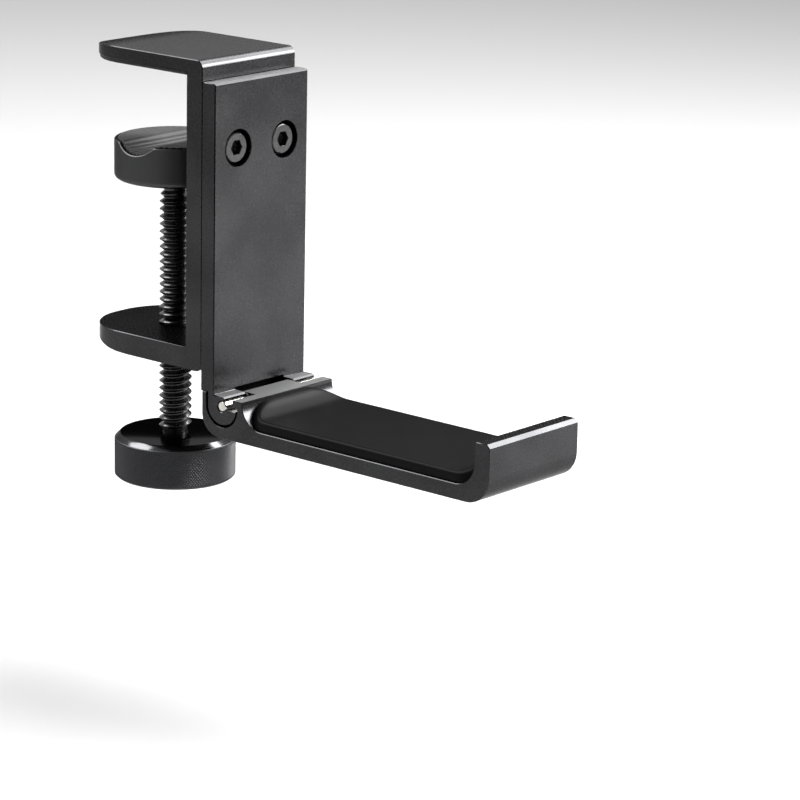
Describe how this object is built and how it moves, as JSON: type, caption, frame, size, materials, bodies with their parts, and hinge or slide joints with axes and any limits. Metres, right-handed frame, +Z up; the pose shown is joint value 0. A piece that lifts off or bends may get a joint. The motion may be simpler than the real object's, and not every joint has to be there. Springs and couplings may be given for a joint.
{
  "type": "headphone hook",
  "caption": "Folding headphone hook on a screw clamp that grips a desk edge: C-shaped clamp frame, pressure foot, knurled knob, and a cushioned J-shaped arm that swings up flat.",
  "frame": {"origin": "underside of the upper jaw's rubber liner, which rests on the desk, on the axis of the clamp screw", "axes": "+Z up along the clamp screw, +Y into the desk, away from the hook, +X across the width of the hook"},
  "size_m": [0.03, 0.1227, 0.1009],
  "materials": {
    "black_anodised": "bead-blasted, black anodised, satin",
    "black_steel": "black oxide",
    "bright_steel": "ground, bright",
    "black_rubber": "matt",
    "nylon": "matt, black"
  },
  "bodies": {
    "clamp": {"clamp_frame": "black_anodised", "upper_jaw_liner": "black_rubber", "hinge_plate": "black_anodised", "plate_screws": "black_steel", "hinge_pin": "bright_steel", "hinge_washers": "nylon"},
    "arm": {"hook_arm": "black_anodised", "arm_cushion": "black_rubber"},
    "foot": {"foot_cup": "black_anodised", "foot_pad": "black_rubber"},
    "spindle": {"clamp_screw": "black_steel", "clamp_knob": "black_anodised", "foot_snap_ring": "bright_steel"}
  },
  "joints": [
    {"name": "hook_fold", "type": "hinge", "parent": "clamp", "child": "arm", "pos_m": [0, -0.0287, -0.0728], "axis": [-1, 0, 0], "range_deg": [0, 90]},
    {"name": "clamp_travel", "type": "slide", "parent": "clamp", "child": "foot", "axis": [0, 0, 1], "range_m": [-0.0335, 0.0179]},
    {"name": "spindle_spin", "type": "hinge", "parent": "foot", "child": "spindle", "pos_m": [0, 0, -0.05], "axis": [0, 0, 1], "range_deg": [-6900, 3700]}
  ],
  "couplings": [
    {"joint": "spindle_spin", "follows": "clamp_travel", "rad_per_m": 3590.4}
  ]
}
